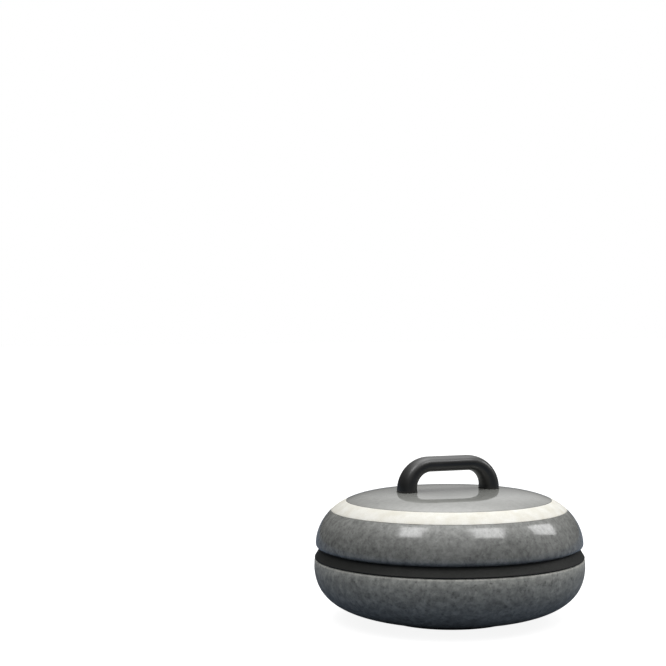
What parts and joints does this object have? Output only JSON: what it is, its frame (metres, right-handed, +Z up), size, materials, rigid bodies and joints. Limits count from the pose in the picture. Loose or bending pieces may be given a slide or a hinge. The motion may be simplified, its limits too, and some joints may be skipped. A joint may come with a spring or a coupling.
{
  "type": "curling stone",
  "caption": "Two-part granite curling stone with a black waist band, a pale shoulder ring, a bridge handle held by through bolts and an inlaid running disc with a hollow cup.",
  "frame": {"origin": "centre of the running band, on the plane where the stone meets the ice", "axes": "+Z up through the middle of the stone; the handle's bar runs along X, left foot at -X"},
  "size_m": [0.2798, 0.2798, 0.1675],
  "materials": {
    "granite_upper": "polished speckled grey granite",
    "granite_lower": "honed darker speckled grey granite",
    "running_stone": "fine-grained blue-grey granite, ground",
    "resin": "cured bonding resin",
    "waist_rubber": "black moulded rubber",
    "ring_inlay": "cream cast inlay, faintly mottled",
    "gasket_rubber": "thin sheet rubber",
    "grip_plastic": "black moulded grip, satin",
    "insert_brass": "turned brass",
    "pad_rubber": "thin moulded rubber",
    "bolt_steel": "zinc-plated steel",
    "washer_steel": "zinc-plated spring steel",
    "sleeve_nylon": "natural nylon tube"
  },
  "bodies": {
    "root": {"upper_granite": "granite_upper", "lower_granite": "granite_lower", "running_insert": "running_stone", "insert_resin": "resin", "waist_band": "waist_rubber", "shoulder_ring": "ring_inlay", "joint_gasket": "gasket_rubber", "handle_grip": "grip_plastic", "handle_insert_left": "insert_brass", "handle_insert_right": "insert_brass", "foot_pad_left": "pad_rubber", "foot_pad_right": "pad_rubber", "handle_bolt_left": "bolt_steel", "handle_bolt_right": "bolt_steel", "lock_washer_left": "washer_steel", "lock_washer_right": "washer_steel", "flat_washer_left": "washer_steel", "flat_washer_right": "washer_steel", "bolt_sleeve_left": "sleeve_nylon", "bolt_sleeve_right": "sleeve_nylon"}
  },
  "joints": []
}
